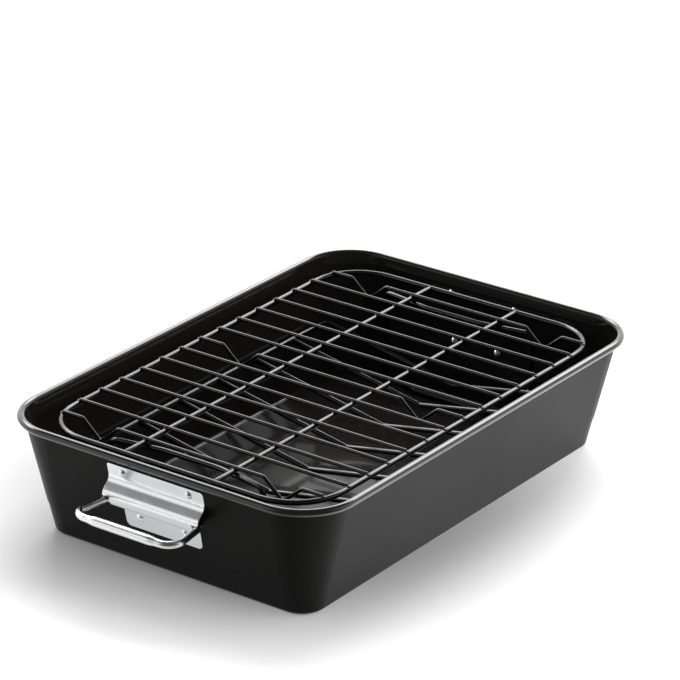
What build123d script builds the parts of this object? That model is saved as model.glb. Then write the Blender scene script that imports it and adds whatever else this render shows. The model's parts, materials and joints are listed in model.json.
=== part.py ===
from build123d import *
import os
from math import atan2, cos, pi, radians, sin, sqrt, tan

os.makedirs("parts", exist_ok=True)

# A roasting pan, a V-shaped rack that stands in it and a flat rack that lies on the V-rack.
# X runs along the pan, Y across it, Z up; the origin is the middle of the pan's base.

# Pan: one pressed steel sheet with leaning walls and a rolled rim
rim_length = 431.8
rim_width = 294.6
pan_height = 96.0
rim_corner_radius = 45.5
sheet = 1.2
wall_draft = 13.1
foot_bend_radius = 5.0
crease_height = 25.0
crease_step = 0.4
bead_radius = 3.0
curl_gap = 0.5
curl_end_share = 0.33
rim_wire_clearance = 0.1

# Handle brackets: bent strip riveted to the short walls, with a hood round the bail
bracket_sheet = 1.2
bracket_width = 87.0
bracket_top = 86.0
bracket_foot = 34.3
hood_depth = 12.0
hood_rise = 7.0
hood_shoulder_fall = 5.6
hood_upper_bend = 8.0
hood_shoulder_bend = 5.5
hood_lower_bend = 1.5
bracket_tail_width = 70.0
bracket_tail_taper = 0.5
bracket_corner_radius = 2.0
bracket_slot_corner_radius = 1.0
bracket_tail_radius = 4.0

# Rivets through bracket and wall
rivet_shank_radius = 1.7
rivet_head_radius = 3.3
rivet_head_height = 2.0
rivet_hole_clearance = 0.1
upper_rivet_spacing = 60.0
upper_rivet_height = 80.6
lower_rivet_spacing = 41.0
lower_rivet_share = 0.4529

# Bails: round bar bent to a loop with a thicker grip; its two ends meet inside the hood
bail_radius = 2.8
bail_height = 58.5
bail_reach = 36.2
bail_splay = 5.3
bail_hood_clearance = 0.15
bail_overhang = 0.5
bail_stop_clearance = 0.3
bail_end_bend = 4.0
bail_corner_bend = 11.0
bail_end_gap = 1.0
bail_grip_inset = 1.0
grip_radius = 3.6
grip_taper = 9.0
grip_taper_bend = 20.0

# V-rack: a rim wire with two V ends, V cross wires between its rails, two end frames
v_wire_radius = 2.25
v_side_clearance = 2.8
v_rail_height = 44.0
v_valley_height = 20.8
v_cross_count = 6
v_cross_inset = 46.5
v_corner_bend = 6.0
v_valley_bend = 7.0
v_frame_height = 84.0
v_frame_share = 0.57
v_frame_bow = 7.5
v_frame_bow_width = 50.0
v_frame_corner_bend = 4.5
v_frame_bow_bend = 60.0
v_foot_length = 13.0
v_foot_width = 26.0
v_foot_set_out = 3.0
v_foot_bend = 2.7
v_foot_bar_bend = 5.0

# Flat rack: a rim wire, two long bars in it, thinner wires on top, three of them with feet
flat_rim_radius = 2.25
flat_bar_radius = 2.0
flat_cross_radius = 1.5
flat_end_clearance = 12.7
flat_side_clearance = 15.1
flat_corner_radius = 42.0
flat_wire_count = 15
flat_end_wire_inset = 24.9
flat_wire_overlap = 0.3
flat_bar_share = 0.332
flat_foot_inset = 39.4
flat_foot_spread = 33.6
flat_foot_drop = 14.5
flat_foot_top_bend = 3.0
flat_foot_tip_bend = 3.4

# Fits shared by the pieces
weld_gap = 0.05
weld_sink = 1.2
seat_gap = 0.2
overrun = 5.0

lean_tan = tan(radians(wall_draft))
lean_cos = cos(radians(wall_draft))
lean_sin = sin(radians(wall_draft))

# Pan section, measured out from the vertical axis of a rim corner
bead_centre_radius = rim_corner_radius - bead_radius
bead_height = pan_height - bead_radius
bead_bore = bead_radius - sheet
floor_bend_radius = foot_bend_radius - sheet
floor_bend_z = sheet + floor_bend_radius
corner_x = rim_length / 2 - rim_corner_radius
corner_y = rim_width / 2 - rim_corner_radius


def wall_inner(height):
    """Distance of the wall's inner face from the corner axis, above the crease."""
    return bead_centre_radius - bead_radius / lean_cos - lean_tan * (bead_height - height)


def wall_outer(height):
    """Distance of the wall's outer face from the corner axis, above the crease."""
    return wall_inner(height) + sheet / lean_cos


def pan_section():
    """Wall, floor edge and rolled bead in one section of the sheet."""
    wall_end = [(-radius * lean_cos, radius * lean_sin) for radius in (bead_bore, bead_radius)]
    outline = [
        (0, 0),
        (wall_outer(0) - crease_step, 0),
        (wall_outer(crease_height) - crease_step, crease_height),
        (wall_outer(crease_height + crease_step), crease_height + crease_step),
        (bead_centre_radius + wall_end[0][0], bead_height + wall_end[0][1]),
        (bead_centre_radius + wall_end[1][0], bead_height + wall_end[1][1]),
        (wall_inner(crease_height + crease_step), crease_height + crease_step),
        (wall_inner(crease_height) - crease_step, crease_height),
        (wall_inner(sheet) - crease_step, sheet),
        (0, sheet),
    ]
    bends = [0, foot_bend_radius, 0, 0, 0, 0, 0, 0, floor_bend_radius, 0]
    wall = make_face(FilletPolyline(*outline, radius=bends, close=True))
    bead = Pos(bead_centre_radius, bead_height) * (Circle(bead_radius) - Circle(bead_bore))
    slit_low = bead_height - bead_radius - overrun
    slit_high = bead_height - curl_end_share * bead_bore
    slit = [
        (wall_outer(slit_low), slit_low),
        (wall_outer(slit_low) + curl_gap, slit_low),
        (wall_outer(slit_high) + curl_gap, slit_high),
        (wall_outer(slit_high), slit_high),
    ]
    return wall + (bead - make_face(Polyline(*slit, close=True)))


def pan_shell():
    """Floor, four straight walls and four round corners, with holes for the rivets."""
    section = pan_section()
    shell = Pos(0, 0, sheet / 2) * Box(2 * corner_x, 2 * corner_y, sheet)
    quarters = [
        (corner_x, corner_y, 0, 2 * corner_y),
        (-corner_x, corner_y, 90, 2 * corner_x),
        (-corner_x, -corner_y, 180, 2 * corner_y),
        (corner_x, -corner_y, 270, 2 * corner_x),
    ]
    pieces = []
    for place_x, place_y, turn, side_length in quarters:
        seat = Location((place_x, place_y, 0), (0, 0, turn)) * Location(Plane.XZ)
        corner_axis = Axis((place_x, place_y, 0), (0, 0, 1))
        pieces.append(revolve(seat * section, axis=corner_axis, revolution_arc=90))
        pieces.append(extrude(seat * section, amount=side_length))
    shell = shell + pieces
    for end in (near_end, far_end):
        for spot in rivet_places():
            hole = Cylinder(rivet_shank_radius + rivet_hole_clearance, overrun * 2)
            shell = shell - end * (spot * hole)
    return shell


def bent_wire(points, bends, radius, closed=False):
    """A round wire along straight runs joined by arcs."""
    path = FilletPolyline(*points, radius=bends, close=closed)
    section = Plane(origin=path @ 0, z_dir=path % 0) * Circle(radius)
    return sweep(section, path=path)


def rim_wire():
    """The stiffening wire that the rim is rolled round."""
    half_x = corner_x + bead_centre_radius
    half_y = corner_y + bead_centre_radius
    points = [(x * half_x, y * half_y, bead_height) for x, y in ((1, 1), (-1, 1), (-1, -1), (1, -1))]
    return bent_wire(points, bead_centre_radius, bead_bore - rim_wire_clearance, closed=True)


# Handles are built on the far short wall; out is square to the wall's outer face, up runs along it
wall_foot = (corner_x + wall_outer(0), 0, 0)
wall_out = (lean_cos, 0, -lean_sin)
far_end = Location((0, 0, 0))
near_end = Location((0, 0, 0), (0, 0, 180))


def along_wall(height):
    """Length up the leaning wall at a height above the table."""
    return height / lean_cos


def rivet_places():
    """The four rivet axes, each with its origin on the wall's outer face."""
    rows = ((upper_rivet_spacing, upper_rivet_height), (lower_rivet_spacing, lower_rivet_height))
    places = []
    for spacing, height in rows:
        for side in (-1, 1):
            point = (corner_x + wall_outer(height), side * spacing / 2, height)
            places.append(Location(Plane(origin=point, x_dir=(0, 1, 0), z_dir=wall_out)))
    return places


# The bail's bar lies in the lower front corner of the hood
hood_bar_bend = bail_radius + bail_hood_clearance + bracket_sheet / 2
bail_out = hood_depth - bracket_sheet / 2 - hood_bar_bend
bail_up = (bail_height + bail_out * lean_sin) / lean_cos
bail_arm_y = bracket_width / 2 - bail_radius + bail_overhang
bail_axis_x = wall_foot[0] + bail_out * lean_cos + bail_up * lean_sin
bail_front_x = bail_axis_x + bail_reach
bail_front_y = bail_arm_y + bail_splay
bail_corner_turn = pi / 2 + atan2(bail_splay, bail_reach)
grip_end_y = bail_front_y - bail_corner_bend * tan(bail_corner_turn / 2) - bail_grip_inset
hood_shoulder_up = bail_up + hood_rise
hood_floor_up = bail_up - hood_bar_bend

# The lower rivets sit at a share of the tail between the bracket's foot and the hood's floor
tail_height = hood_floor_up * lean_cos - bracket_foot
lower_rivet_height = bracket_foot + tail_height * lower_rivet_share


def bracket_section():
    """The bent strip seen from its side: X is the distance from the wall, Y the way up it."""
    flat = bracket_sheet / 2
    front = hood_depth - flat
    middle = [
        (flat, along_wall(bracket_top) + overrun),
        (flat, hood_shoulder_up + hood_shoulder_fall),
        (front, hood_shoulder_up),
        (front, hood_floor_up),
        (flat, hood_floor_up),
        (flat, along_wall(bracket_foot) - overrun),
    ]
    bends = [hood_upper_bend, hood_shoulder_bend, hood_bar_bend, hood_lower_bend]
    return trace(FilletPolyline(*middle, radius=bends), bracket_sheet)


def bracket_outline():
    """The strip seen square to the wall: wide top, slots for the bail, narrower tail."""
    half = bracket_width / 2
    arm_climb = (hood_depth - bail_out) * lean_tan
    slot_top = bail_up + bail_radius / lean_cos + arm_climb + bail_stop_clearance
    slot_side = bail_arm_y - bail_end_bend
    tail_top = hood_floor_up - hood_lower_bend
    tail = bracket_tail_width / 2
    right = [
        (half, along_wall(bracket_top)),
        (half, slot_top),
        (slot_side, slot_top),
        (slot_side, tail_top),
        (tail, tail_top),
        (tail - bracket_tail_taper, along_wall(bracket_foot)),
    ]
    left = [(-y, up) for y, up in reversed(right)]
    bends = [bracket_corner_radius, bracket_slot_corner_radius, 0, 0, 0, bracket_tail_radius]
    return make_face(FilletPolyline(*right, *left, radius=bends + bends[::-1], close=True))


def handle_bracket():
    """Bent strip with rounded top corners, rivet holes and a hood over the bail."""
    side_plane = Plane(origin=wall_foot, x_dir=wall_out, z_dir=(0, -1, 0))
    bracket = extrude(side_plane * bracket_section(), amount=bracket_width / 2, both=True)
    front_plane = Plane(origin=wall_foot, x_dir=(0, 1, 0), z_dir=wall_out)
    bracket = bracket & extrude(front_plane * bracket_outline(), amount=2 * hood_depth, both=True)
    for spot in rivet_places():
        hole = Cylinder(rivet_shank_radius + rivet_hole_clearance, overrun * 2)
        bracket = bracket - spot * hole
    return bracket


def rivet():
    """Domed head outside, shank, domed tail inside; Z is square to the wall."""
    inside = -sheet
    outside = bracket_sheet
    outline = [
        Line((0, inside - rivet_head_height), (0, outside + rivet_head_height)),
        dome((0, outside + rivet_head_height), (rivet_head_radius, outside), 1),
        Line((rivet_head_radius, outside), (rivet_shank_radius, outside)),
        Line((rivet_shank_radius, outside), (rivet_shank_radius, inside)),
        Line((rivet_shank_radius, inside), (rivet_head_radius, inside)),
        dome((0, inside - rivet_head_height), (rivet_head_radius, inside), -1),
    ]
    return revolve(Plane.XZ * make_face(Wire(outline)), axis=Axis.Z)


def dome(crown, brim, side):
    """Arc of the sphere through a head's crown and brim."""
    sphere = (rivet_head_radius ** 2 + rivet_head_height ** 2) / (2 * rivet_head_height)
    middle_angle = atan2(rivet_head_radius, sphere - rivet_head_height) / 2
    middle_height = crown[1] - side * sphere * (1 - cos(middle_angle))
    return ThreePointArc(crown, (sphere * sin(middle_angle), middle_height), brim)


def handle_rivets():
    """Four separate rivets in one group."""
    return Compound([spot * rivet() for spot in rivet_places()])


def bail_grip():
    """The thicker middle of the bail's front bar, turned about that bar's axis."""
    outline = [
        (0, -grip_end_y),
        (bail_radius, -grip_end_y),
        (grip_radius, grip_taper - grip_end_y),
        (grip_radius, grip_end_y - grip_taper),
        (bail_radius, grip_end_y),
        (0, grip_end_y),
    ]
    bends = [0, 0, grip_taper_bend, grip_taper_bend, 0, 0]
    section = make_face(FilletPolyline(*outline, radius=bends, close=True))
    return Pos(bail_front_x, 0, bail_height) * revolve(section, axis=Axis.Y)


def handle_bail():
    """Round bar: from the middle of the hood out along an arm to the grip, and the same back."""
    points = [
        (bail_axis_x, bail_end_gap / 2, bail_height),
        (bail_axis_x, bail_arm_y, bail_height),
        (bail_front_x, bail_front_y, bail_height),
        (bail_front_x, grip_end_y, bail_height),
    ]
    arm = bent_wire(points, [bail_end_bend, bail_corner_bend], bail_radius)
    return arm + mirror(arm, about=Plane.XZ) + bail_grip()


# V-rack places: the rounded foot tips reach to where the pan's floor starts to turn up into the
# short walls, and the rails run beside its long walls
v_floor = sheet + seat_gap
v_foot_z = v_floor + v_wire_radius
v_rail_z = sheet + v_rail_height
v_valley_z = sheet + v_valley_height
v_frame_top_z = v_floor + v_frame_height - v_wire_radius
v_tip_turn = pi - atan2(v_foot_width, v_foot_length - v_foot_set_out)
v_tip_rounding = v_foot_bend * (tan(v_tip_turn / 2) - 1)
floor_edge_x = corner_x + wall_inner(floor_bend_z) - crease_step - floor_bend_radius / lean_cos
v_tip_x = floor_edge_x + v_tip_rounding
v_leg_x = v_tip_x - v_foot_length
v_end_x = v_leg_x - 2 * v_wire_radius - weld_gap
v_rail_y = corner_y + wall_inner(v_rail_z) - v_side_clearance - v_wire_radius
v_leg_y = v_frame_share * v_rail_y - v_wire_radius
v_cross_pitch = 2 * (v_end_x - v_cross_inset) / (v_cross_count - 1)


def v_rack_rim(growth=0):
    """Two straight rails and two V ends, bent from one wire."""
    points = [
        (v_end_x, v_rail_y, v_rail_z),
        (-v_end_x, v_rail_y, v_rail_z),
        (-v_end_x, 0, v_valley_z),
        (-v_end_x, -v_rail_y, v_rail_z),
        (v_end_x, -v_rail_y, v_rail_z),
        (v_end_x, 0, v_valley_z),
    ]
    corner, valley = v_corner_bend, v_valley_bend
    bends = [corner, corner, valley, corner, corner, valley]
    return bent_wire(points, bends, v_wire_radius + growth, closed=True)


def v_cross_wire(place_x, rim):
    """A V between the rails; each end is hollowed to fit round the inner side of its rail."""
    points = [
        (place_x, v_rail_y, v_rail_z),
        (place_x, 0, v_valley_z),
        (place_x, -v_rail_y, v_rail_z),
    ]
    wire = bent_wire(points, [v_valley_bend], v_wire_radius)
    half_width = v_rail_y - v_wire_radius + weld_sink
    between_rails = Pos(place_x, 0, v_rail_z) * Box(v_rail_z, 2 * half_width, 2 * v_rail_z)
    return (wire & between_rails) - rim


def v_end_frame():
    """Closed loop: two legs, a lifting bar bowed towards the middle, two flat feet and a low bar."""
    bar_x = v_leg_x + v_foot_set_out
    bowed_x = v_leg_x - v_frame_bow
    tip_y = v_leg_y
    bar_y = v_leg_y - v_foot_width
    half = [
        (bowed_x, v_frame_bow_width / 2, v_frame_top_z, v_frame_bow_bend),
        (v_leg_x, v_leg_y, v_frame_top_z, v_frame_corner_bend),
        (v_leg_x, v_leg_y, v_foot_z, v_foot_bend),
        (v_tip_x, tip_y, v_foot_z, v_foot_bend),
        (bar_x, bar_y, v_foot_z, v_foot_bar_bend),
    ]
    other_half = [(x, -y, z, bend) for x, y, z, bend in reversed(half)]
    loop = half + other_half
    points = [(x, y, z) for x, y, z, bend in loop]
    return bent_wire(points, [bend for x, y, z, bend in loop], v_wire_radius, closed=True)


# Flat rack places: its long bars lie on the lifting bars of the V-rack
flat_bar_z = v_frame_top_z + v_wire_radius + seat_gap + flat_bar_radius
flat_rim_z = flat_bar_z + flat_bar_radius - flat_rim_radius
flat_deck_z = flat_rim_z + flat_rim_radius - weld_sink
flat_rim_x = corner_x + wall_inner(flat_rim_z) - flat_end_clearance - flat_rim_radius
flat_rim_y = corner_y + wall_inner(flat_rim_z) - flat_side_clearance - flat_rim_radius
flat_bar_y = flat_bar_share * flat_rim_y
flat_wire_pitch = 2 * (flat_rim_x - flat_end_wire_inset) / (flat_wire_count - 1)


def flat_rack_rim(growth=0):
    """Rectangle of wire with large round corners."""
    signs = ((1, 1), (-1, 1), (-1, -1), (1, -1))
    points = [(x * flat_rim_x, y * flat_rim_y, flat_rim_z) for x, y in signs]
    return bent_wire(points, flat_corner_radius, flat_rim_radius + growth, closed=True)


def flat_support_bar(place_y, growth=0):
    """Straight bar along the rack, butted between the short sides of the rim."""
    half_length = flat_rim_x - flat_rim_radius - weld_gap
    bar = Cylinder(flat_bar_radius + growth, 2 * half_length)
    return Pos(0, place_y, flat_bar_z) * Rot(0, 90, 0) * bar


def flat_weld_seats():
    """The rim and the long bars grown by the weld gap, into which the wires on top are pressed."""
    bars = [flat_support_bar(side * flat_bar_y, weld_gap) for side in (1, -1)]
    return flat_rack_rim(weld_gap) + bars


def flat_wire_end(place_x):
    """Half length of a wire across the rack, to just past the rim's centre line."""
    into_corner = max(abs(place_x) - (flat_rim_x - flat_corner_radius), 0)
    rim_y = flat_rim_y - flat_corner_radius + sqrt(flat_corner_radius ** 2 - into_corner ** 2)
    return rim_y + flat_wire_overlap


def flat_cross_wire(place_x, seats):
    """Thin straight wire on top of the rim and the support bars."""
    wire = Cylinder(flat_cross_radius, 2 * flat_wire_end(place_x))
    return Pos(place_x, 0, flat_deck_z + flat_cross_radius) * Rot(90, 0, 0) * wire - seats


def flat_foot_wire(place_x, seats):
    """Cross wire with a V foot bent down near each end."""
    end_y = flat_wire_end(place_x)
    deck = flat_deck_z + flat_cross_radius
    centre = flat_rim_y - flat_foot_inset
    inner = centre - flat_foot_spread / 2
    outer = centre + flat_foot_spread / 2
    half = [(end_y, deck), (outer, deck), (centre, deck - flat_foot_drop), (inner, deck)]
    points = [(place_x, y, z) for y, z in half] + [(place_x, -y, z) for y, z in reversed(half)]
    bends = [flat_foot_top_bend, flat_foot_tip_bend, flat_foot_top_bend]
    return bent_wire(points, bends + bends, flat_cross_radius) - seats


def save(shape, node):
    """Writes one node."""
    export_step(shape, f"parts/{node}.step")


def main():
    """Builds and writes every node."""
    save(pan_shell(), "pan_shell")
    save(rim_wire(), "rim_wire")
    bracket = handle_bracket()
    rivets = handle_rivets()
    bail = handle_bail()
    for name, end in (("near", near_end), ("far", far_end)):
        save(end * bracket, f"{name}_handle_bracket")
        save(end * rivets, f"{name}_handle_rivets")
        save(end * bail, f"{name}_handle_bail")

    save(v_rack_rim(), "v_rack_rim")
    grown_rim = v_rack_rim(weld_gap)
    frame = v_end_frame()
    save(near_end * frame, "v_rack_near_end_frame")
    save(far_end * frame, "v_rack_far_end_frame")
    for index in range(v_cross_count):
        place_x = (index - (v_cross_count - 1) / 2) * v_cross_pitch
        save(v_cross_wire(place_x, grown_rim), f"v_rack_cross_wire_{index + 1}")

    save(flat_rack_rim(), "flat_rack_rim")
    save(flat_support_bar(flat_bar_y), "flat_rack_left_bar")
    save(flat_support_bar(-flat_bar_y), "flat_rack_right_bar")
    seats = flat_weld_seats()
    middle = flat_wire_count // 2
    foot_names = {0: "near", middle: "middle", flat_wire_count - 1: "far"}
    number = 0
    for index in range(flat_wire_count):
        place_x = (index - middle) * flat_wire_pitch
        if index in foot_names:
            save(flat_foot_wire(place_x, seats), f"flat_rack_{foot_names[index]}_foot_wire")
        else:
            number += 1
            save(flat_cross_wire(place_x, seats), f"flat_rack_cross_wire_{number}")

    print("bail axis", round(bail_axis_x, 2), bail_height, "arm", round(bail_arm_y, 2))
    print("v rack end, leg, tip", round(v_end_x, 2), round(v_leg_x, 2), round(v_tip_x, 2))
    print("v rail y, z", round(v_rail_y, 2), round(v_rail_z, 2), "frame top", round(v_frame_top_z, 2))
    print("flat rim", round(flat_rim_x, 2), round(flat_rim_y, 2), round(flat_rim_z, 2))


main()
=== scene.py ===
import json
import math

import bmesh
import bpy
import numpy as np
from mathutils import Matrix, Vector


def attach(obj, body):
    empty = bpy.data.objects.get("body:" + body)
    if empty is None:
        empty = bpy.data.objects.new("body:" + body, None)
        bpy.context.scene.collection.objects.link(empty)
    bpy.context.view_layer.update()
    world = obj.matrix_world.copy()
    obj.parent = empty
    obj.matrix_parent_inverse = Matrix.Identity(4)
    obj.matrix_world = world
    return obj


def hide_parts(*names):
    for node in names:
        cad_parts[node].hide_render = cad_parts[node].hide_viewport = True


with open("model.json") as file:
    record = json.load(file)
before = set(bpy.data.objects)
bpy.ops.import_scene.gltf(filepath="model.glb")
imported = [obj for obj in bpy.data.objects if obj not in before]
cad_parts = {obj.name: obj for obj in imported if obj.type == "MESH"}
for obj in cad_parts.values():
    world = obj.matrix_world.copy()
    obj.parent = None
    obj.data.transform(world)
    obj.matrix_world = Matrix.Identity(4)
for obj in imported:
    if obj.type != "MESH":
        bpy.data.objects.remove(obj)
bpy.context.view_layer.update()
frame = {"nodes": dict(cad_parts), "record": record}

# Sizes in metres, as the CAD has them
rim_half_x = 0.2159
rim_half_y = 0.1473
rim_corner = 0.0455
sheet = 0.0012
bead_radius = 0.003
bead_height = 0.093
wall_draft = math.radians(13.1)

strip_sheet = 0.0012
strip_edge = 0.00025
strip_foot_x = 0.189410
strip_middle = [
    (0.00060, 0.08830),
    (0.00060, 0.07449),
    (0.01140, 0.06889),
    (0.01140, 0.05834),
    (0.00060, 0.05834),
    (0.00060, 0.03522),
]
strip_bends = [0.008, 0.0055, 0.00355, 0.0015]
strip_half = 0.0435
strip_hood_half = 0.0372
strip_tail_half = 0.035
strip_tail_taper = 0.0005
strip_slot_up = 0.06603
strip_tail_up = 0.05684
strip_corner = 0.002
strip_slot_corner = 0.001
strip_tail_corner = 0.004
strip_side = 0.002
strip_rim = 0.0001

bail_x, bail_y, bail_z = 0.21108, 0.0412, 0.0585
bail_radius = 0.0028
bail_reach = 0.0362
bail_splay = 0.0053
bail_end_gap = 0.001
bail_end_bend = 0.004
bail_corner_bend = 0.011
grip_radius = 0.0036
grip_end_y = 0.0327
grip_taper = 0.009

v_wire = 0.00225
v_end_x, v_rail_y, v_rail_z = 0.16872, 0.12505, 0.0452
v_valley_z = 0.022
v_corner_bend = 0.006
v_valley_bend = 0.007
v_cross_x = np.linspace(-0.12222, 0.12222, 6)
frame_leg_x, frame_leg_y = 0.17327, 0.06903
frame_top_z, foot_z = 0.08315, 0.00365
frame_bow = 0.0075
frame_bow_y = 0.025
frame_tip_x = 0.18627
frame_bar_x, frame_bar_y = 0.17627, 0.04303
frame_bends = (0.060, 0.0045, 0.0027, 0.0027, 0.005)

flat_rim = 0.00225
flat_rim_x, flat_rim_y, flat_rim_z = 0.19356, 0.12256, 0.08735
flat_corner = 0.042
flat_bar = 0.002
flat_bar_y, flat_bar_z = 0.04069, 0.0876
thin_wire = 0.0015
deck_z = 0.0899
flat_cross_x = np.linspace(-0.16866, 0.16866, 15)
flat_overlap = 0.0003
flat_foot_inset = 0.0394
flat_foot_spread = 0.0336
flat_foot_drop = 0.0145
flat_foot_bends = (0.003, 0.0034, 0.003, 0.003, 0.0034, 0.003)

# Weld nuggets: half sizes along the axes, and how high those of the flat rack sit
collar_size = (0.0029, 0.0012, 0.0027)
leg_weld_size = (0.0010, 0.0021, 0.0023)
deck_weld_size = (0.0023, 0.0021, 0.0010)
deck_weld_z = 0.0892

corner_x = rim_half_x - rim_corner
corner_y = rim_half_y - rim_corner
wall_top = rim_corner - bead_radius - bead_radius / math.cos(wall_draft)


# Materials: a value wraps a socket, a finish wraps a material

class Value:
    """One output socket. Arithmetic on it adds the Math nodes that work it out."""

    def __init__(self, finish, socket):
        self.finish = finish
        self.socket = socket

    def maths(self, operation, *terms):
        sockets = dict(enumerate(terms))
        return self.finish.node("ShaderNodeMath", {"operation": operation}, sockets)

    def __add__(self, other):
        return self.maths("ADD", self, other)

    def __sub__(self, other):
        return self.maths("SUBTRACT", self, other)

    def __rsub__(self, other):
        return self.maths("SUBTRACT", other, self)

    def __mul__(self, other):
        return self.maths("MULTIPLY", self, other)

    def __abs__(self):
        return self.maths("ABSOLUTE", self)

    __radd__ = __add__
    __rmul__ = __mul__

    def at_least(self, low):
        return self.maths("MAXIMUM", self, low)

    def above(self, limit):
        return self.maths("GREATER_THAN", self, limit)

    def below(self, limit):
        return self.maths("LESS_THAN", self, limit)

    def root(self):
        return self.maths("SQRT", self)

    def rise(self, low, high, start=0.0, end=1.0):
        """Smooth step from start at low to end at high."""
        settings = {"interpolation_type": "SMOOTHSTEP"}
        sockets = {"Value": self, "From Min": low, "From Max": high, "To Min": start, "To Max": end}
        return self.finish.node("ShaderNodeMapRange", settings, sockets)


class Finish:
    """A material built from nodes round one Principled shader."""

    def __init__(self, name, tree=None):
        if tree is None:
            self.material = bpy.data.materials.new(name)
            self.material.use_nodes = True
            tree = self.material.node_tree
        self.tree = tree
        self.tree.nodes.clear()

    def node(self, kind, settings=None, sockets=None, output=0):
        """Adds a node: settings first, then the values or links of its sockets."""
        made = self.tree.nodes.new(kind)
        for name, value in (settings or {}).items():
            setattr(made, name, value)
        for name, value in (sockets or {}).items():
            if isinstance(value, Value):
                self.tree.links.new(value.socket, made.inputs[name])
            else:
                made.inputs[name].default_value = value
        return Value(self, made.outputs[output]) if made.outputs else None

    def place(self):
        """Object coordinates: the place on the object, in metres."""
        return self.node("ShaderNodeTexCoord", output="Object")

    def parts(self, vector):
        """The three numbers of a vector."""
        split = self.node("ShaderNodeSeparateXYZ", sockets={0: vector}).socket.node
        return [Value(self, socket) for socket in split.outputs]

    def noise(self, size, detail, stretch=(1, 1, 1)):
        """Noise from 0 to 1 with spots about size metres wide, stretched along the axes."""
        scale = [1 / (size * s) for s in stretch]
        mapped = self.node("ShaderNodeMapping", sockets={"Vector": self.place(), "Scale": scale})
        sockets = {"Vector": mapped, "Scale": 1.0, "Detail": detail}
        return self.node("ShaderNodeTexNoise", {"normalize": True}, sockets)

    def blend(self, share, low, high):
        """Mixes two colours, or colour values, by a share."""
        sockets = {"Factor": share, 6: low, 7: high}
        return self.node("ShaderNodeMix", {"data_type": "RGBA"}, sockets, output=2)

    def bump(self, height, distance):
        """A normal tilted as if the surface rose by distance where height is 1."""
        return self.node("ShaderNodeBump", sockets={"Height": height, "Distance": distance})

    def shader(self, sockets):
        """Ends the material in a Principled shader with these sockets."""
        self.end(self.node("ShaderNodeBsdfPrincipled", sockets=sockets))

    def end(self, surface):
        """Ends the material in this surface."""
        self.node("ShaderNodeOutputMaterial", sockets={"Surface": surface})


coat_warm = 0.07
outer_warm = 0.08
steel_cool = -0.01
cloudiness = 0.08
outer_roughness = 0.34
inner_polish = 0.24
wire_roughness = 0.14
steel_roughness = 0.17
line_roughness = 0.06
inner_coat = 0.36
rim_coat = 0.90
peel_height = 0.000006
wire_grain_height = 0.000003
line_height = 0.000006
line_stretch = (1, 40, 1)


def grey(value, warm=0.0):
    """A grey with a little warmth: red up and blue down by the same share."""
    return (value * (1 + warm), value, value * (1 - warm), 1)


def nonstick_coating():
    """Near-black coating: mirror-like inside and on the rim, more satin outside."""
    finish = Finish("nonstick_coating")
    x, y, z = finish.parts(finish.place())
    out_x = (abs(x) - corner_x).at_least(0)
    out_y = (abs(y) - corner_y).at_least(0)
    reach = (out_x * out_x + out_y * out_y).root()
    middle = wall_top + sheet / 2 / math.cos(wall_draft) - math.tan(wall_draft) * (bead_height - z)
    inner_side = reach.below(middle) * z.above(sheet / 2)
    rim = z.above(bead_height - bead_radius)
    gloss = inner_side.maths("MAXIMUM", inner_side, rim)
    speckle = finish.noise(size=0.0011, detail=3.0)
    cloud = finish.noise(size=0.045, detail=3.0)
    peel = finish.noise(size=0.0016, detail=1.0)
    outside = finish.blend(speckle, grey(0.0055, outer_warm), grey(0.0085, outer_warm))
    inside = finish.blend(speckle, grey(0.013, coat_warm), grey(0.018, coat_warm))
    finish.shader({
        "Base Color": finish.blend(gloss, outside, inside),
        "Roughness": outer_roughness + cloud * cloudiness - gloss * inner_polish,
        "Specular IOR Level": 0.08,
        "Coat Weight": inner_side * inner_coat + rim * (1 - inner_side) * rim_coat,
        "Coat Roughness": 0.05,
        "Coat IOR": 1.6,
        "Normal": finish.bump(peel, peel_height),
    })
    return finish.material


def wire_coating():
    """Glossy black coating on round wire."""
    finish = Finish("wire_coating")
    cloud = finish.noise(size=0.012, detail=3.0)
    speckle = finish.noise(size=0.0009, detail=2.0)
    finish.shader({
        "Base Color": finish.blend(speckle, grey(0.003), grey(0.005)),
        "Roughness": wire_roughness + cloud * cloudiness,
        "Specular IOR Level": 0.65,
        "Normal": finish.bump(speckle, wire_grain_height),
    })
    return finish.material


def satin_steel():
    """Bright stainless strip and bar with fine lines along Y."""
    finish = Finish("satin_steel")
    lines = finish.noise(size=0.0004, detail=3.0, stretch=line_stretch)
    cloud = finish.noise(size=0.015, detail=3.0)
    finish.shader({
        "Base Color": finish.blend(lines, grey(0.86, steel_cool), grey(0.95, steel_cool)),
        "Metallic": 1.0,
        "Roughness": steel_roughness + cloud * cloudiness + lines * line_roughness,
        "Normal": finish.bump(lines, line_height),
    })
    return finish.material


def drawn_steel():
    """Plain drawn wire, hidden in the rim."""
    finish = Finish("drawn_steel")
    lines = finish.noise(size=0.0005, detail=2.0)
    finish.shader({
        "Base Color": finish.blend(lines, grey(0.42), grey(0.50)),
        "Metallic": 1.0,
        "Roughness": 0.40,
    })
    return finish.material


finishes = {
    "nonstick": nonstick_coating(),
    "coated_wire": wire_coating(),
    "handle_steel": satin_steel(),
    "rim_steel": drawn_steel(),
}
slots = {row["node"]: row["material_slot"] for row in frame["record"]["subparts"]}
for name, node in frame["nodes"].items():
    node.data.materials.clear()
    node.data.materials.append(finishes[slots[name]])


# Pieces worked out on grids: every wire is a round profile carried along a bent path

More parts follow.
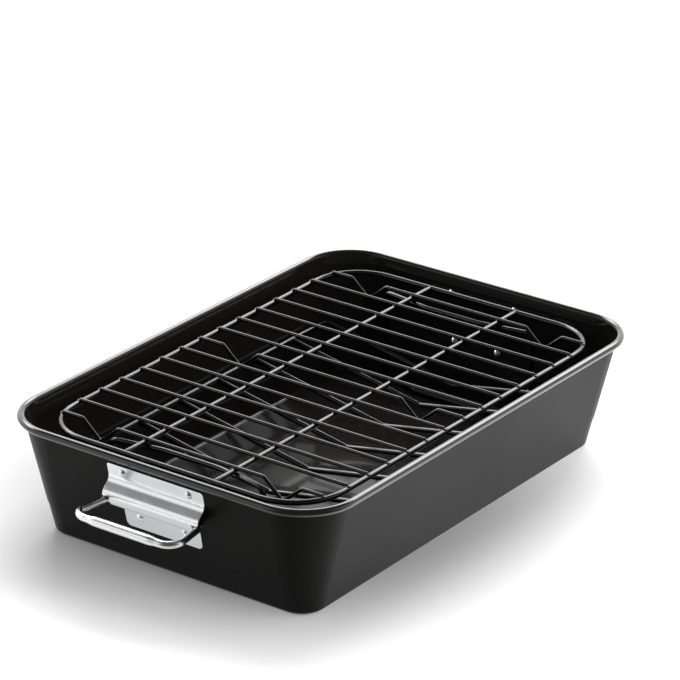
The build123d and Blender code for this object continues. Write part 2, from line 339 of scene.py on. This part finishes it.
profile_sides = 24
bend_steps = 10
end_steps = 6
edge_steps = 5
corner_steps = 17
face_steps = 7
face_share = 0.9
nugget_rings = 9
nugget_sides = 16
wire_step = 0.012
bail_step = 0.0012
strip_step = 0.002
same_course = 1e-6
merge_distance = 1e-7
no_length = 1e-8
sharp_angle = math.radians(40)
slant = np.ones(3) / math.sqrt(3)
across = np.array((0, 1, 0))


def bent_path(points, bends, closed=False):
    """Places and directions along straight runs joined by arcs.

    With a and b the directions into and out of a corner and t the turn between them, the arc of
    radius r starts r tan(t / 2) before the corner. At angle s it is at start + a r sin s +
    n r (1 - cos s), with direction a cos s + n sin s, where n is (b - a cos t) / sin t.
    """
    points = np.array(points, dtype=float)
    runs = np.roll(points, -1, axis=0) - points
    ways = runs / np.linalg.norm(runs, axis=1, keepdims=True)
    corners = range(len(points)) if closed else range(1, len(points) - 1)
    places, courses = [], []
    if not closed:
        places.append(points[:1])
        courses.append(ways[:1])
    for corner, bend in zip(corners, np.broadcast_to(bends, len(corners))):
        a, b = ways[corner - 1], ways[corner]
        turn = math.acos(np.clip(a @ b, -1, 1))
        n = (b - a * math.cos(turn)) / math.sin(turn)
        start = points[corner] - a * bend * math.tan(turn / 2)
        s = np.linspace(0, turn, bend_steps)[:, None]
        places.append(start + a * bend * np.sin(s) + n * bend * (1 - np.cos(s)))
        courses.append(a * np.cos(s) + n * np.sin(s))
    if closed:
        places.append(places[0][:1])
        courses.append(courses[0][:1])
    else:
        places.append(points[-1:])
        courses.append(ways[-2:-1])
    return np.concatenate(places), np.concatenate(courses)


def with_steps(places, courses, spacing):
    """The same path with its long runs divided, at most spacing apart."""
    lengths = np.linalg.norm(np.diff(places, axis=0), axis=1)
    counts = np.maximum(np.ceil(lengths / spacing), 1).astype(int)
    first = np.repeat(np.arange(len(lengths)), counts)
    count_before = np.repeat(np.cumsum(counts) - counts, counts)
    share = (np.arange(len(first)) - count_before) / counts[first]
    between = places[first] + share[:, None] * (places[first + 1] - places[first])
    straight = np.linalg.norm(courses[first + 1] - courses[first], axis=1) < same_course
    kept = straight[:, None] | (share[:, None] == 0)
    course = np.where(kept, courses[first], courses[first + 1])
    return np.concatenate([between, places[-1:]]), np.concatenate([course, courses[-1:]])


def rounded_ends(places, courses, radius):
    """Adds a half ball at both ends: rings of radius r cos b, set out by r sin b."""
    b = np.linspace(0, math.pi / 2, end_steps + 1)[1:]
    out = np.sin(b)[:, None] * radius[-1]
    head = places[0] - courses[0] * out[::-1]
    tail = places[-1] + courses[-1] * out
    places = np.concatenate([head, places, tail])
    before, after = (np.tile(courses[end], (end_steps, 1)) for end in (0, -1))
    courses = np.concatenate([before, courses, after])
    radius = np.concatenate([radius[0] * np.cos(b)[::-1], radius, radius[-1] * np.cos(b)])
    return places, courses, radius


def ring_grid(places, courses, radius):
    """Rings round a path: place + radius (u cos w + v sin w).

    u is the slant direction less its part along the path, and v is square to both; the slant is
    never in line with a wire, so the rings don't twist.
    """
    u = slant - (courses @ slant)[:, None] * courses
    u = u / np.linalg.norm(u, axis=1, keepdims=True)
    v = np.cross(courses, u)
    w = np.linspace(0, 2 * math.pi, profile_sides, endpoint=False)
    circle = u[:, None] * np.cos(w)[:, None] + v[:, None] * np.sin(w)[:, None]
    return places[:, None] + circle * np.asarray(radius)[:, None, None]


def grid_faces(rows, columns, start=0):
    """Quads between neighbouring rows of a grid whose columns close on themselves."""
    row, column = np.meshgrid(np.arange(rows - 1), np.arange(columns), indexing="ij")
    after = (column + 1) % columns
    here = row * columns
    quads = [here + column, here + after, here + columns + after, here + columns + column]
    return np.stack(quads, axis=-1).reshape(-1, 4) + start


def piece(name, grids, body, slot, nodes=()):
    """One smooth mesh of several closed-column grids, riding on a body and standing for nodes."""
    faces, start = [], 0
    for grid in grids:
        faces.append(grid_faces(grid.shape[0], grid.shape[1], start))
        start += grid.shape[0] * grid.shape[1]
    vertices = np.concatenate([grid.reshape(-1, 3) for grid in grids])
    mesh = bpy.data.meshes.new(name)
    mesh.from_pydata(vertices.tolist(), [], np.concatenate(faces).tolist())
    made = bpy.data.objects.new(name, mesh)
    bpy.context.scene.collection.objects.link(made)
    close_up(mesh)
    finish_piece(made, body, slot, nodes)
    return made


def close_up(mesh):
    """Merges the points that poles and seams share, and turns every face outwards."""
    shape = bmesh.new()
    shape.from_mesh(mesh)
    bmesh.ops.remove_doubles(shape, verts=shape.verts, dist=merge_distance)
    bmesh.ops.dissolve_degenerate(shape, edges=shape.edges, dist=no_length)
    bmesh.ops.recalc_face_normals(shape, faces=shape.faces)
    shape.to_mesh(mesh)
    shape.free()
    mesh.shade_smooth()


def finish_piece(made, body, slot, nodes):
    """Body, slot, finish and the CAD nodes a new piece stands for."""
    made.data.materials.append(finishes[slot])
    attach(made, body)
    if nodes:
        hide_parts(*nodes)


def wire(points, bends, radius, closed=False):
    """Rings of a round wire; open ends are rounded and reach just to the path's ends."""
    places, courses = with_steps(*bent_path(points, bends, closed), wire_step)
    if closed:
        return ring_grid(places, courses, np.full(len(places), radius))
    places[0] += courses[0] * radius
    places[-1] -= courses[-1] * radius
    return ring_grid(*rounded_ends(places, courses, np.full(len(places), radius)))


def nuggets(centres, half_sizes):
    """Small balls pressed flat: centre + (a cos p cos q, b cos p sin q, c sin p)."""
    p = np.linspace(-math.pi / 2, math.pi / 2, nugget_rings)[:, None]
    q = np.linspace(0, 2 * math.pi, nugget_sides, endpoint=False)[None, :]
    level_x, level_y = np.cos(p) * np.cos(q), np.cos(p) * np.sin(q)
    ball = np.stack([level_x, level_y, np.sin(p) * np.ones_like(q)], axis=-1)
    return [ball * np.array(half_sizes) + np.array(centre) for centre in centres]


def strip_columns():
    """The columns of a ring of the strip, as a, b, c and d of y = a w + b and t = c h + d.

    Here y is across the strip, t square to its face, w half its width and h half its thickness.
    One half of the ring runs along the face, round the edge's arc and back on the other face; the
    other half is its opposite, with every sign turned.
    """
    turn = np.linspace(0, math.pi / 2, edge_steps)
    flat = np.linspace(-face_share, face_share, face_steps)
    beside = np.array([-strip_edge - strip_side, -strip_edge - strip_rim])
    corner_y = np.concatenate([beside, strip_edge * (np.sin(turn) - 1)])
    corner_t = np.concatenate([np.zeros(2), strip_edge * (np.cos(turn) - 1)])
    back_y, back_t = corner_y[::-1][1:], -corner_t[::-1][1:]
    a = np.concatenate([flat, np.ones(len(corner_y) + len(back_y))])
    b = np.concatenate([-flat * (strip_edge + strip_side), corner_y, back_y])
    c = np.concatenate([np.ones(len(flat) + len(corner_y)), -np.ones(len(back_y))])
    d = np.concatenate([np.zeros(len(flat)), corner_t, back_t])
    return [np.concatenate([half, -half]) for half in (a, b, c, d)]


def strip_part(path_s, places, courses, start, stop, half_width, free_start, free_stop):
    """A run of the bent strip from start to stop along it, as rings of a rounded rectangle.

    At a length s the strip is at c(s) with its face along n(s); a ring is c + y across + t n. The
    corners of the rectangle are arcs of the edge radius, and at a free end the thickness closes
    in on the same arc.
    """
    ends = strip_edge * (1 - np.cos(np.linspace(0, math.pi / 2, edge_steps)))
    corner = np.linspace(0, strip_tail_corner, corner_steps)
    near_ends = [start + ends, stop - ends, start + corner, stop - corner]
    s = np.unique(np.concatenate([path_s, *near_ends]))
    s = s[(s >= start) & (s <= stop)]
    centre = np.stack([np.interp(s, path_s, places[:, axis]) for axis in range(3)], axis=-1)
    course = np.stack([np.interp(s, path_s, courses[:, axis]) for axis in range(3)], axis=-1)
    course = course / np.linalg.norm(course, axis=1, keepdims=True)
    face = np.cross(across, course)
    short = np.full(len(s), strip_edge)
    if free_start:
        short = np.minimum(short, s - start)
    if free_stop:
        short = np.minimum(short, stop - s)
    drawn_in = np.sqrt(np.maximum(strip_edge ** 2 - (strip_edge - short) ** 2, 0))
    half_sheet = strip_sheet / 2 - strip_edge + drawn_in
    a, b, c, d = strip_columns()
    y = a * half_width(s)[:, None] + b
    t = c * half_sheet[:, None] + d
    rings = centre[:, None] + y[:, :, None] * across + t[:, :, None] * face[:, None]
    first, last = (np.broadcast_to(centre[end], rings[:1].shape) for end in (0, -1))
    return np.concatenate([first, rings, last])


def rounding(distance, radius):
    """How far a rounded corner draws the side in, at a distance from the end."""
    short = np.clip(distance, 0, radius)
    return radius - np.sqrt(np.maximum(radius ** 2 - (radius - short) ** 2, 0))


def bracket(end, side):
    """Bent strip with a hood: wide top, narrower round the bail's arms, tapering tail."""
    outward = np.array((math.cos(wall_draft), 0, -math.sin(wall_draft)))
    upward = np.array((math.sin(wall_draft), 0, math.cos(wall_draft)))
    foot = np.array((strip_foot_x, 0, 0))
    points = [foot + out * outward + up * upward for out, up in strip_middle]
    places, courses = bent_path(points, strip_bends)
    places, courses = with_steps(places, courses, strip_step)
    steps = np.linalg.norm(np.diff(places, axis=0), axis=1)
    path_s = np.concatenate([[0], np.cumsum(steps)])
    up = (places - foot) @ upward
    slot_s = np.interp(-strip_slot_up, -up, path_s)
    tail_s = np.interp(-strip_tail_up, -up, path_s)
    length = path_s[-1]

    def top_width(s):
        return strip_half - rounding(s, strip_corner) - rounding(slot_s - s, strip_slot_corner)

    def hood_width(s):
        return np.full(len(s), strip_hood_half)

    def tail_width(s):
        taper = strip_tail_taper * (s - tail_s) / (length - tail_s)
        return strip_tail_half - taper - rounding(length - s, strip_tail_corner)

    parts = [
        strip_part(path_s, places, courses, 0, slot_s, top_width, True, False),
        strip_part(path_s, places, courses, slot_s, tail_s, hood_width, False, False),
        strip_part(path_s, places, courses, tail_s, length, tail_width, False, True),
    ]
    turned = [part * np.array((side, side, 1)) for part in parts]
    nodes = [f"{end}_handle_bracket"]
    made = piece(f"{end}_bracket_strip", turned, "pan", "handle_steel", nodes)
    made.data.set_sharp_from_angle(angle=sharp_angle)


bracket("far", 1)
bracket("near", -1)


def bail(end, side):
    """Bent bar with a thicker grip: radius rises smoothly to the grip's along the front."""
    front_x, front_y = bail_x + bail_reach, bail_y + bail_splay
    points = [
        (bail_x, bail_end_gap / 2, bail_z),
        (bail_x, bail_y, bail_z),
        (front_x, front_y, bail_z),
        (front_x, -front_y, bail_z),
        (bail_x, -bail_y, bail_z),
        (bail_x, -bail_end_gap / 2, bail_z),
    ]
    bends = [bail_end_bend, bail_corner_bend, bail_corner_bend, bail_end_bend]
    places, courses = with_steps(*bent_path(points, bends), bail_step)
    along = np.clip((grip_end_y - np.abs(places[:, 1])) / grip_taper, 0, 1)
    along = np.where(places[:, 0] > front_x - bail_radius, along, 0)
    radius = bail_radius + (grip_radius - bail_radius) * along * along * (3 - 2 * along)
    places[0] += courses[0] * bail_radius
    places[-1] -= courses[-1] * bail_radius
    places, courses, radius = rounded_ends(places, courses, radius)
    turned = np.array((side, side, 1))
    rings = ring_grid(places * turned, courses * turned, radius)
    piece(f"{end}_bail_bar", [rings], f"{end}_bail", "handle_steel", [f"{end}_handle_bail"])


bail("far", 1)
bail("near", -1)


def four_corners(x, y, z):
    """Corners of a level rectangle, in turn."""
    return [(x, y, z), (-x, y, z), (-x, -y, z), (x, -y, z)]


def mirrored_path(half):
    """A path and its mirror image across the XZ plane, the second half run backwards."""
    return list(half) + [(x, -y, z) for x, y, z in reversed(half)]


def rack_piece(name, grids, body, *nodes):
    """A piece of coated wire."""
    piece(name, grids, body, "coated_wire", nodes)


def v_rack():
    """Rim of two rails and two V ends, V wires let into the rails, end frames and weld nuggets."""
    ends = [v_end_x, -v_end_x]
    rim = []
    for x, side in zip(ends, (1, -1)):
        rim += [(x, -side * v_rail_y, v_rail_z), (x, 0, v_valley_z), (x, side * v_rail_y, v_rail_z)]
    bends = [v_corner_bend, v_valley_bend, v_corner_bend] * 2
    rack_piece("v_rack_rim_wire", [wire(rim, bends, v_wire, closed=True)], "v_rack", "v_rack_rim")
    for number, x in enumerate(v_cross_x, 1):
        path = [(x, v_rail_y, v_rail_z), (x, 0.0, v_valley_z), (x, -v_rail_y, v_rail_z)]
        rings = wire(path, [v_valley_bend], v_wire)
        rack_piece(f"v_rack_v_wire_{number}", [rings], "v_rack", f"v_rack_cross_wire_{number}")
    half = [
        (frame_leg_x - frame_bow, frame_bow_y, frame_top_z),
        (frame_leg_x, frame_leg_y, frame_top_z),
        (frame_leg_x, frame_leg_y, foot_z),
        (frame_tip_x, frame_leg_y, foot_z),
        (frame_bar_x, frame_bar_y, foot_z),
    ]
    for end, side in (("far", 1), ("near", -1)):
        path = [(side * x, y, z) for x, y, z in mirrored_path(half)]
        rings = wire(path, frame_bends + frame_bends[::-1], v_wire, closed=True)
        rack_piece(f"v_rack_{end}_frame_wire", [rings], "v_rack", f"v_rack_{end}_end_frame")

    slope = (v_rail_z - v_valley_z) / v_rail_y
    collar_y, collar_z = v_rail_y - v_wire, v_rail_z - v_wire * slope
    collars = [(x, side * collar_y, collar_z) for x in v_cross_x for side in (1, -1)]
    leg_x = (v_end_x + frame_leg_x) / 2
    leg_z = v_rail_z - (v_rail_y - frame_leg_y) * slope
    legs = [(x, y, leg_z) for x in (leg_x, -leg_x) for y in (frame_leg_y, -frame_leg_y)]
    grids = nuggets(collars, collar_size) + nuggets(legs, leg_weld_size)
    rack_piece("v_rack_welds", grids, "v_rack")


def rim_reach(x):
    """How far out the flat rack's rim is at a place along it, round its corners too."""
    into = np.maximum(np.abs(x) - (flat_rim_x - flat_corner), 0)
    return flat_rim_y - flat_corner + np.sqrt(flat_corner ** 2 - into ** 2)


def flat_rack():
    """Rim, two long bars let into it, thin wires pressed into both and weld nuggets."""
    corners = four_corners(flat_rim_x, flat_rim_y, flat_rim_z)
    rings = wire(corners, flat_corner, flat_rim, closed=True)
    rack_piece("flat_rack_rim_wire", [rings], "flat_rack", "flat_rack_rim")
    for name, side in (("left", 1), ("right", -1)):
        y = side * flat_bar_y
        rings = wire([(-flat_rim_x, y, flat_bar_z), (flat_rim_x, y, flat_bar_z)], [], flat_bar)
        rack_piece(f"flat_rack_{name}_long_wire", [rings], "flat_rack", f"flat_rack_{name}_bar")
    foot_names = {0: "near", len(flat_cross_x) // 2: "middle", len(flat_cross_x) - 1: "far"}
    centre = flat_rim_y - flat_foot_inset
    tip = deck_z - flat_foot_drop
    number, spots = 0, []
    for index, x in enumerate(flat_cross_x):
        reach = rim_reach(x)
        end_y = reach + flat_overlap
        spots += [(x, side * y, deck_weld_z) for side in (1, -1) for y in (reach, flat_bar_y)]
        if index in foot_names:
            half = [
                (x, end_y, deck_z),
                (x, centre + flat_foot_spread / 2, deck_z),
                (x, centre, tip),
                (x, centre - flat_foot_spread / 2, deck_z),
            ]
            name = foot_names[index]
            rings = wire(mirrored_path(half), flat_foot_bends, thin_wire)
            node = f"flat_rack_{name}_foot_wire"
            rack_piece(f"flat_rack_{name}_footed_wire", [rings], "flat_rack", node)
        else:
            number += 1
            rings = wire([(x, end_y, deck_z), (x, -end_y, deck_z)], [], thin_wire)
            node = f"flat_rack_cross_wire_{number}"
            rack_piece(f"flat_rack_thin_wire_{number}", [rings], "flat_rack", node)
    rack_piece("flat_rack_welds", nuggets(spots, deck_weld_size), "flat_rack")


v_rack()
flat_rack()


# Surroundings: back_x and back_y point away from the camera, side_x and side_y to its right. The
# height of a direction is the sine of its angle over the horizon. A slope is a smooth step: from
# one place or height, to another, and its values there

back_x, back_y = 0.76, 0.65
side_x, side_y = 0.2, -0.98
shadow_x, shadow_y = -0.04, 0.03
shadow_slope = (0.12, 0.40, 0.08, 1.0)
front_ground_slope = (-0.42, -0.20, 0.05, 1.0)
back_ground_slope = (0.05, 0.18, 1.0, 0.40)
side_ground_slope = (0.05, 0.15, 0.0, 0.90)
mirrored_glow = 0.42
ground_white = 0.82
ground_size = 6.0
ground_drop = 0.0003
overhead_slope = (0.40, 0.75, 1.0, 0.12)
front_sky_slope = (-0.75, -0.25, 0.10, 1.0)
back_sky_slope = (0.225, 0.475)
band_rise = (0.44, 0.62)
band_fall = (0.62, 0.80, 8.0, 0.0)
backdrop_fall = (0.72, 0.92, 0.8, 0.0)
fill_light = 0.30
white = (1, 1, 1, 1)


def seen_by(finish):
    """1 for camera rays, and 1 for gloss and transmission rays, else 0."""
    path = finish.node("ShaderNodeLightPath").socket.node
    names = ("Is Camera Ray", "Is Glossy Ray", "Is Transmission Ray")
    camera, gloss, through = [Value(finish, path.outputs[name]) for name in names]
    return camera, gloss.maths("MAXIMUM", gloss, through)


def ground():
    """Pale ground that keeps the object's shadow and fades to the white background."""
    bpy.ops.mesh.primitive_plane_add(size=ground_size, location=(0, 0, -ground_drop))
    floor = bpy.context.object
    floor.name = "ground"
    finish = Finish("pale_ground")
    x, y = finish.parts(finish.place())[:2]
    camera, mirrored = seen_by(finish)
    off_x, off_y = x - shadow_x, y - shadow_y
    from_shadow = (off_x * off_x + off_y * off_y).root()
    back = x * back_x + y * back_y
    front = back.rise(*front_ground_slope)
    dimmed = back.rise(*back_ground_slope)
    beside = (x * side_x + y * side_y).rise(*side_ground_slope)
    level = 1 - mirrored * (1 - front * dimmed)
    glow = camera * from_shadow.rise(*shadow_slope)
    glow = glow + mirrored * front * (beside + dimmed * mirrored_glow)
    light = finish.node("ShaderNodeEmission", sockets={"Color": white, "Strength": glow})
    matt = finish.node("ShaderNodeBsdfDiffuse", sockets={"Color": level * ground_white})
    finish.end(finish.node("ShaderNodeAddShader", sockets={0: light, 1: matt}))
    floor.data.materials.append(finish.material)


def sky():
    """White at the camera's level; for gloss darker overhead, with a bright band at the back."""
    world = bpy.data.worlds.new("studio")
    bpy.context.scene.world = world
    world.use_nodes = True
    finish = Finish("studio", world.node_tree)
    x, y, z = finish.parts(finish.node("ShaderNodeTexCoord", output="Generated"))
    camera, mirrored = seen_by(finish)
    back = x * back_x + y * back_y
    room = z.rise(*overhead_slope) * back.rise(*front_sky_slope)
    band = z.rise(*band_rise) * z.rise(*band_fall)
    backdrop = back.rise(*back_sky_slope) * (z.rise(*backdrop_fall) + band)
    shown = camera.maths("MAXIMUM", camera, mirrored * (room + backdrop))
    others = 1 - camera.maths("MAXIMUM", camera, mirrored)
    sockets = {"Color": white, "Strength": shown + others * fill_light}
    background = finish.node("ShaderNodeBackground", sockets=sockets)
    finish.node("ShaderNodeOutputWorld", sockets={"Surface": background})


lamp_target = (0, 0, 0.05)


def softbox(name, place, width, height, power):
    """A rectangular lamp aimed at the object; gloss shows the sky and not the lamp."""
    lamp = bpy.data.lights.new(name, "AREA")
    lamp.shape = "RECTANGLE"
    lamp.size = width
    lamp.size_y = height
    lamp.energy = power
    box = bpy.data.objects.new(name, lamp)
    bpy.context.scene.collection.objects.link(box)
    box.location = place
    box.visible_glossy = False
    aim = Vector(lamp_target) - Vector(place)
    box.rotation_euler = aim.to_track_quat("-Z", "Y").to_euler()


ground()
sky()
softbox("key", place=(1.10, 0.60, 1.65), width=1.8, height=1.2, power=40)
softbox("side", place=(0.7, -1.7, 0.9), width=1.6, height=1.0, power=9)

camera_place = (-2.09631, -1.51980, 1.24313)
camera_degrees = (-54.2434, 23.4488, 0.5767)
camera_lens = 199.42
camera_sensor = 36
camera_reach = 20


def photograph_camera():
    """The camera that sees the object as the photograph does."""
    azimuth, elevation, roll = (math.radians(angle) for angle in camera_degrees)
    back = Vector((
        math.sin(azimuth) * math.cos(elevation),
        -math.cos(azimuth) * math.cos(elevation),
        math.sin(elevation),
    ))
    level = Vector((math.cos(azimuth), math.sin(azimuth), 0))
    upright = back.cross(level)
    right = level * math.cos(roll) + upright * math.sin(roll)
    up = upright * math.cos(roll) - level * math.sin(roll)
    data = bpy.data.cameras.new("camera")
    data.sensor_width = camera_sensor
    data.lens = camera_lens
    data.clip_end = camera_reach
    camera = bpy.data.objects.new("camera", data)
    bpy.context.scene.collection.objects.link(camera)
    turn = Matrix((right, up, back)).transposed()
    camera.matrix_world = Matrix.Translation(camera_place) @ turn.to_4x4()
    bpy.context.scene.camera = camera


photograph_camera()
bpy.context.scene.view_settings.view_transform = "Standard"
